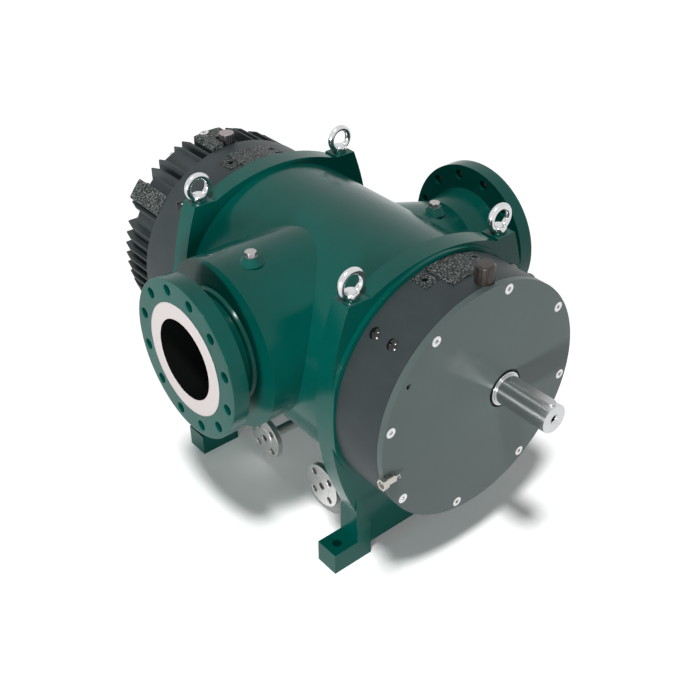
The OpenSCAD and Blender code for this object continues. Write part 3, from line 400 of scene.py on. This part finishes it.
# %% Dress the solids
FINISH_OF_SLOT = {
    "casing_paint": casing_enamel, "insert_iron": dull_iron, "housing_paint": housing_finish,
    "cover_paint": cover_finish, "gasket_fibre": gasket, "screw_steel": screw_steel,
    "seal_rubber": rubber, "plug_black": plug_black, "valve_steel": valve_steel,
    "eyebolt_chrome": chrome, "stainless": stainless, "bearing_steel": gear_steel,
    "seal_parts": gear_steel, "front_cap_plastic": front_cap, "rear_cap_plastic": rear_cap,
    "shaft_steel": shaft_steel, "key_steel": key_steel, "screw_bronze": bronze, "gear_steel": gear_steel,
}
FINISH_OF_NODE = {
    "suction_flange": suction_finish, "discharge_flange": discharge_finish,
    "suction_vent_plug": plug_steel, "discharge_vent_plug": plug_steel,
}
slot_of_node = {}
for part in frame["record"]["subparts"]:
    slot_of_node[part["node"]] = part["material_slot"]
for name, solid in nodes.items():
    finish = FINISH_OF_NODE.get(name) or FINISH_OF_SLOT[slot_of_node[name]]
    for slot in solid.material_slots:
        slot.material = finish
print("dressed", len(nodes), "solids")

# %% [markdown]
# No real casting or machined plate has knife edges. A bevel modifier rounds them without touching the mesh
# underneath. The solids arrive with their faces apart, so a weld comes first, and weighted normals come
# last to keep the big flat faces flat.

# %% Round the edges
EDGE_ROUND = {
    0.0030: ["front_end_plate", "rear_end_plate"],
    0.0022: ["front_bearing_housing", "rear_gear_housing", "suction_barrel"],
    0.0014: ["suction_flange", "discharge_flange", "front_cover"],
    0.0010: ["front_drain", "rear_drain", "drive_shaft", "shaft_sleeve", "drive_key", "front_filler_cap"],
    0.0007: ["rear_filler_cap", "drain_valve_body", "suction_vent_plug", "discharge_vent_plug",
             "rear_hex_plug"],
}
SHARP_ANGLE = math.radians(38)
WELD_GAP = 0.00002
ROUND_SEGMENTS = 2
FLAT_FACE_WEIGHT = 80


def round_edges(solid, width):
    weld = solid.modifiers.new("weld", "WELD")
    weld.merge_threshold = WELD_GAP
    bevel = solid.modifiers.new("round", "BEVEL")
    bevel.width = width
    bevel.segments = ROUND_SEGMENTS
    bevel.limit_method = "ANGLE"
    bevel.angle_limit = SHARP_ANGLE
    weighted = solid.modifiers.new("normals", "WEIGHTED_NORMAL")
    weighted.weight = FLAT_FACE_WEIGHT
    weighted.keep_sharp = False


for width, names in EDGE_ROUND.items():
    for name in names:
        round_edges(nodes[name], width)
print("rounded the edges of", sum(len(names) for names in EDGE_ROUND.values()), "solids")

# %% [markdown]
# The eyes and the bosses are rings of sections: each section is a closed loop of points, four-sided faces
# join it to the next, and the last one joins the first. Points that fall together on an axis are merged. A
# turned shape has the same profile in every section.

# %% Skin helpers
MERGE_GAP = 1e-6


def object_of(mesh, name, material):
    bmesh.ops.recalc_face_normals(mesh, faces=mesh.faces)
    data = bpy.data.meshes.new(name)
    mesh.to_mesh(data)
    mesh.free()
    for face in data.polygons:
        face.use_smooth = True
    piece = bpy.data.objects.new(name, data)
    piece.data.materials.append(material)
    bpy.context.scene.collection.objects.link(piece)
    return piece


def skin(name, sections, material):
    mesh = bmesh.new()
    loops = [[mesh.verts.new(point) for point in section] for section in sections]
    pairs = list(zip(loops, loops[1:])) + [(loops[-1], loops[0])]
    for first, second in pairs:
        for index in range(len(first)):
            after = (index + 1) % len(first)
            mesh.faces.new((first[index], first[after], second[after], second[index]))
    bmesh.ops.remove_doubles(mesh, verts=mesh.verts, dist=MERGE_GAP)
    loose = [edge for edge in mesh.edges if not edge.link_faces]
    bmesh.ops.delete(mesh, geom=loose, context="EDGES")
    return object_of(mesh, name, material)


def turned(base, profile, steps):
    sections = []
    for index in range(steps):
        angle = 2 * math.pi * index / steps
        out = Vector((math.cos(angle), math.sin(angle), 0))
        sections.append([base + out * radius + Vector((0, 0, height)) for radius, height in profile])
    return sections


print("skin helpers ready")

# %% [markdown]
# A forged lifting eye is a ring of round bar that thickens a little into a turned collar. Two skins make
# it: the ring, with its bar thickest at the foot, and the collar with its rounded rim and its shank.

# %% Lifting eyes
EYE_BAR = 0.008
EYE_SHANK = 0.030
EYE_SWELL = 0.12
SWELL_SPREAD = 0.6
RING_STEPS = 64
BAR_STEPS = 20
COLLAR_STEPS = 48
COLLAR_PROFILE = [
    (0.0, -EYE_SHANK), (0.0098, -EYE_SHANK), (0.0098, 0.0002), (0.0166, 0.0002), (0.0178, 0.0014),
    (0.0178, 0.0150), (0.0170, 0.0164), (0.0154, 0.0170), (0.0, 0.0172),
]


def lifting_eye(node):
    low, high = (Vector(corner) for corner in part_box(node))
    middle = (low + high) / 2
    ring_r = (high.y - low.y) / 2 - EYE_BAR
    pad = low.z + EYE_SHANK
    ring_centre = Vector((middle.x, middle.y, high.z - EYE_BAR - ring_r))
    ring = []
    for index in range(RING_STEPS):
        angle = 2 * math.pi * index / RING_STEPS
        from_foot = min(angle, 2 * math.pi - angle)
        bar = EYE_BAR * (1 + EYE_SWELL * math.exp(-(from_foot / SWELL_SPREAD) ** 2))
        out = Vector((0, math.sin(angle), -math.cos(angle)))
        middle_of_bar = ring_centre + out * (ring_r + EYE_BAR - bar)
        turns = [2 * math.pi * step / BAR_STEPS for step in range(BAR_STEPS)]
        round_bar = [math.cos(turn) * out + Vector((math.sin(turn), 0, 0)) for turn in turns]
        ring.append([middle_of_bar + bar * step for step in round_bar])
    collar = turned(Vector((middle.x, middle.y, pad)), COLLAR_PROFILE, COLLAR_STEPS)
    for name, sections in ((node + "_ring", ring), (node + "_collar", collar)):
        piece = skin(name, sections, chrome)
        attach(piece, "casing")
        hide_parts(node)


for node in sorted(name for name in nodes if name.startswith("eyebolt")):
    lifting_eye(node)
    print("made", node)

# %% [markdown]
# A vent plug sits on a welded boss that flares towards the pipe. The boss is a turned cone, so a short
# profile is spun round the plug's own axis. Its foot goes a little under the painted surface, as a welded
# one does.

# %% Flared vent bosses
PLUG_SHANK = 0.010
BOSS_STEPS = 64
BOSS_ROUND = 0.0005
BOSS_PROFILE = [(0.0146, 0.0002), (0.0158, 0.0002), (0.0170, -0.0010), (0.0292, -0.0160), (0.0146, -0.0160)]


def flared_boss(name, plug):
    low, high = (Vector(corner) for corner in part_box(plug))
    top = Vector(((low.x + high.x) / 2, (low.y + high.y) / 2, low.z + PLUG_SHANK))
    piece = skin(name, turned(top, BOSS_PROFILE, BOSS_STEPS), casing_enamel)
    round_edges(piece, BOSS_ROUND)
    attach(piece, "casing")


flared_boss("suction_vent_boss", "suction_vent_plug")
flared_boss("discharge_vent_boss", "discharge_vent_plug")
print("made two flared vent bosses")

# %% [markdown]
# The rear cover sheds the heat of the timing gears. It is cast in a mould that opens along the shafts, so
# its fins are straight plates: upright ones above and below, and level ones down both sides. Each is an
# extruded outline that ends on a circle round the middle axis. Blocks with a rough cast top stand between
# them, one at each shoulder and one under the filler cap.

# %% Rear cover: helpers
COVER_RIM_X = -0.456
COVER_FRONT_X = -0.442
COVER_RIM_R = 0.288
DRUM_R = 0.262
DRUM_CORNER = 0.004
DRUM_STEPS = 160
DRUM_BACK_X = -0.570
FIN_R = 0.289
FIN_TOP_X = -0.550
FIN_BACK_X = -0.587
FIN_DROP = 0.010
FIN_HALF = 0.0025
UPRIGHT_FINS = (0.0690, 0.0935, 0.1425, 0.1670)
LEVEL_FIN_R = 0.283
LEVEL_TOP = 0.097
LEVEL_PITCH = 0.029
LEVEL_COUNT = 8
LONE_FIN = 0.1485
LEVEL_ROOT = 0.172


def extrude_outline(mesh, near, far):
    first = [mesh.verts.new(point) for point in near]
    second = [mesh.verts.new(point) for point in far]
    mesh.faces.new(first)
    mesh.faces.new(list(reversed(second)))
    for index in range(len(first)):
        after = (index + 1) % len(first)
        mesh.faces.new((first[after], first[index], second[index], second[after]))


def cover_piece(mesh, name, material, width):
    piece = object_of(mesh, name, material)
    round_edges(piece, width)
    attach(piece, "casing")
    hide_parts("rear_finned_cover")


print("rear cover fins on a circle of", FIN_R, "m radius")

# %% [markdown]
# The drum and its rim are one turned shape on the middle axis. Every fin has the same kind of outline: it
# starts at the rim, runs straight back and has its back corner cut off. Its reach is worked out so that its
# outer corner lies on a circle, and the eight level fins of each side have a slightly smaller circle.

# %% Rear cover: drum, rim and fins
FIN_ROUND = 0.0010


def fin_outline(reach, root):
    return [(COVER_RIM_X, root), (COVER_RIM_X, reach), (FIN_TOP_X, reach), (FIN_BACK_X, reach - FIN_DROP),
            (FIN_BACK_X, root)]


def add_drum(mesh):
    profile = [(COVER_FRONT_X, 0.0), (COVER_FRONT_X, COVER_RIM_R), (COVER_RIM_X, COVER_RIM_R),
               (COVER_RIM_X, DRUM_R), (DRUM_BACK_X + DRUM_CORNER, DRUM_R),
               (DRUM_BACK_X, DRUM_R - DRUM_CORNER), (DRUM_BACK_X, 0.0)]
    loops = []
    for index in range(DRUM_STEPS):
        angle = 2 * math.pi * index / DRUM_STEPS
        out = Vector((0, math.sin(angle), math.cos(angle)))
        centre = Vector((0, 0, SHAFT_Z))
        points = [centre + Vector((x, 0, 0)) + out * radius for x, radius in profile]
        loops.append([mesh.verts.new(point) for point in points])
    for index in range(DRUM_STEPS):
        first, second = loops[index], loops[(index + 1) % DRUM_STEPS]
        for step in range(len(profile) - 1):
            mesh.faces.new((first[step], first[step + 1], second[step + 1], second[step]))
    bmesh.ops.remove_doubles(mesh, verts=mesh.verts, dist=MERGE_GAP)


def add_upright_fin(mesh, y):
    reach = math.sqrt(FIN_R ** 2 - (abs(y) + FIN_HALF) ** 2)
    for side in (1, -1):
        outline = fin_outline(reach, 0.0)
        near = [Vector((x, y - FIN_HALF, SHAFT_Z + side * rise)) for x, rise in outline]
        far = [Vector((x, y + FIN_HALF, SHAFT_Z + side * rise)) for x, rise in outline]
        extrude_outline(mesh, near, far)


def add_level_fin(mesh, rise, side, radius):
    reach = math.sqrt(radius ** 2 - (abs(rise) + FIN_HALF) ** 2)
    outline = fin_outline(reach, LEVEL_ROOT)
    near = [Vector((x, side * out, SHAFT_Z + rise - FIN_HALF)) for x, out in outline]
    far = [Vector((x, side * out, SHAFT_Z + rise + FIN_HALF)) for x, out in outline]
    extrude_outline(mesh, near, far)


cover_mesh = bmesh.new()
add_drum(cover_mesh)
for y in UPRIGHT_FINS:
    for side in (-1, 1):
        add_upright_fin(cover_mesh, side * y)
level_rises = [LEVEL_TOP - index * LEVEL_PITCH for index in range(LEVEL_COUNT)]
for side in (-1, 1):
    for rise in level_rises:
        add_level_fin(cover_mesh, rise, side, LEVEL_FIN_R)
    for rise in (LONE_FIN, -LONE_FIN):
        add_level_fin(cover_mesh, rise, side, FIN_R)
cover_piece(cover_mesh, "rear_cover_fins", housing_finish, FIN_ROUND)
print("made a drum with", 2 * len(UPRIGHT_FINS), "upright and", 2 * len(level_rises) + 4, "level fins")

# %% [markdown]
# Bosses for the cover's screws fill the gaps between some of the fins, and blocks with a rough top fill
# the shoulders. All of them end on a circle, so one helper draws them: an arc outside, and inside an arc
# just under the drum's surface or a flat floor, extruded along the shafts.

# %% Rear cover: bosses and rough blocks
ARC_STEPS = 8
BLOCK_SINK = 0.003
BLOCK_ROUND = 0.0014
BOSS_R = 0.278
LOW_BOSS_R = 0.268
SHOULDER = (0.205, 0.238)
SHOULDER_FLOOR = 0.158
SHOULDER_BACK_X = -0.590
CAP_BLOCK = (-0.055, 0.025)
CAP_BLOCK_R = 0.297
CAP_SEAT_R = 0.276
CAP_CLEAR = 0.023
CAP_BACK_X = -0.5005


def add_rim_block(mesh, y_range, x_range, radius, up, floor=0.0):
    steps = [y_range[0] + (y_range[1] - y_range[0]) * index / ARC_STEPS for index in range(ARC_STEPS + 1)]
    root = DRUM_R - BLOCK_SINK
    section = [(y, math.sqrt(radius ** 2 - y ** 2)) for y in steps]
    section += [(y, max(math.sqrt(root ** 2 - y ** 2), floor)) for y in reversed(steps)]
    near = [Vector((x_range[0], y, SHAFT_Z + up * rise)) for y, rise in section]
    far = [Vector((x_range[1], y, SHAFT_Z + up * rise)) for y, rise in section]
    extrude_outline(mesh, near, far)


boss_mesh = bmesh.new()
block_mesh = bmesh.new()
for up in (1, -1):
    for side in (-1, 1):
        high = (UPRIGHT_FINS[1], UPRIGHT_FINS[2], BOSS_R)
        low = (UPRIGHT_FINS[3], SHOULDER[0], LOW_BOSS_R)
        for inner, outer, radius in (high, low):
            span = sorted((side * inner, side * outer))
            add_rim_block(boss_mesh, span, (COVER_RIM_X, DRUM_BACK_X), radius, up)
        span = sorted((side * SHOULDER[0], side * SHOULDER[1]))
        add_rim_block(block_mesh, span, (COVER_RIM_X, SHOULDER_BACK_X), FIN_R, up, SHOULDER_FLOOR)
add_rim_block(block_mesh, CAP_BLOCK, (CAP_BACK_X, FIN_TOP_X), CAP_BLOCK_R, 1)
add_rim_block(block_mesh, (CAP_BLOCK[0], -CAP_CLEAR), (COVER_RIM_X, CAP_BACK_X), CAP_BLOCK_R, 1)
add_rim_block(boss_mesh, (-CAP_CLEAR, CAP_BLOCK[1]), (COVER_RIM_X, CAP_BACK_X), CAP_SEAT_R, 1)
cover_piece(boss_mesh, "rear_cover_bosses", housing_finish, FIN_ROUND)
cover_piece(block_mesh, "rear_cover_rough_blocks", rough_casting, BLOCK_ROUND)
print("made eight bosses, four shoulder blocks and the cap block")

# %% [markdown]
# The pump stands on a white floor. One broad lamp is almost overhead, so the shadow lies close round the
# pump, and a level lamp lights the drive end and the suction side. The floor and the world are white to
# the camera, and glossy and transmission rays see the same white, so metal shows the background it stands
# in. The light that falls on the pump from the world is only the weak fill.

# %% Floor, world and lamps
FLOOR_HALF = 9.0
FLOOR_SHARE = 0.85
FLOOR_FOR_CAMERA = 1.38
FLOOR_GLOW = 0.12
FILL = 0.10
SUN_STRENGTH = 1.9
SUN_FROM = (0.25, -0.29, 1.0)
SIDE_STRENGTH = 2.8
SIDE_FROM = (0.62, -1.0, 0.0)
SUN_SPREAD = 8
SIDE_SPREAD = 12
FLOOR_ROUGHNESS = 0.9


def background_rays(tree):
    path = add_node(tree, "ShaderNodeLightPath").outputs
    direct = math_node(tree, "MAXIMUM", path["Is Camera Ray"], path["Is Transmission Ray"])
    return math_node(tree, "MAXIMUM", direct, path["Is Glossy Ray"])


def studio_floor():
    mesh = bpy.data.meshes.new("floor")
    corners = [(-FLOOR_HALF, -FLOOR_HALF, 0), (FLOOR_HALF, -FLOOR_HALF, 0),
               (FLOOR_HALF, FLOOR_HALF, 0), (-FLOOR_HALF, FLOOR_HALF, 0)]
    mesh.from_pydata(corners, [], [(0, 1, 2, 3)])
    floor = bpy.data.objects.new("floor", mesh)
    bpy.context.scene.collection.objects.link(floor)
    material, tree, shader, _ = start_finish("floor_white", (FLOOR_SHARE,) * 3, FLOOR_ROUGHNESS)
    shader.inputs["Specular IOR Level"].default_value = 0.0
    seen = background_rays(tree)
    colour = blend(tree, seen, (FLOOR_SHARE,) * 3, (FLOOR_FOR_CAMERA,) * 3)
    tree.links.new(colour, shader.inputs["Base Color"])
    glow = math_node(tree, "MULTIPLY", seen, FLOOR_GLOW)
    shader.inputs["Emission Color"].default_value = (1, 1, 1, 1)
    tree.links.new(glow, shader.inputs["Emission Strength"])
    mesh.materials.append(material)


def studio_world():
    world = bpy.data.worlds.new("studio")
    world.use_nodes = True
    tree = world.node_tree
    background = tree.nodes["Background"]
    background.inputs["Color"].default_value = (1, 1, 1, 1)
    strength = remap(tree, background_rays(tree), 0.0, 1.0, FILL, 1.0)
    tree.links.new(strength, background.inputs["Strength"])
    bpy.context.scene.world = world


def far_lamp(name, strength, spread, towards):
    lamp = bpy.data.lights.new(name, "SUN")
    lamp.energy = strength
    lamp.angle = math.radians(spread)
    holder = bpy.data.objects.new(name, lamp)
    holder.rotation_euler = Vector(towards).to_track_quat("Z", "Y").to_euler()
    bpy.context.scene.collection.objects.link(holder)


studio_floor()
studio_world()
far_lamp("overhead", SUN_STRENGTH, SUN_SPREAD, SUN_FROM)
far_lamp("from_the_side", SIDE_STRENGTH, SIDE_SPREAD, SIDE_FROM)
print("floor, world and two lamps ready")
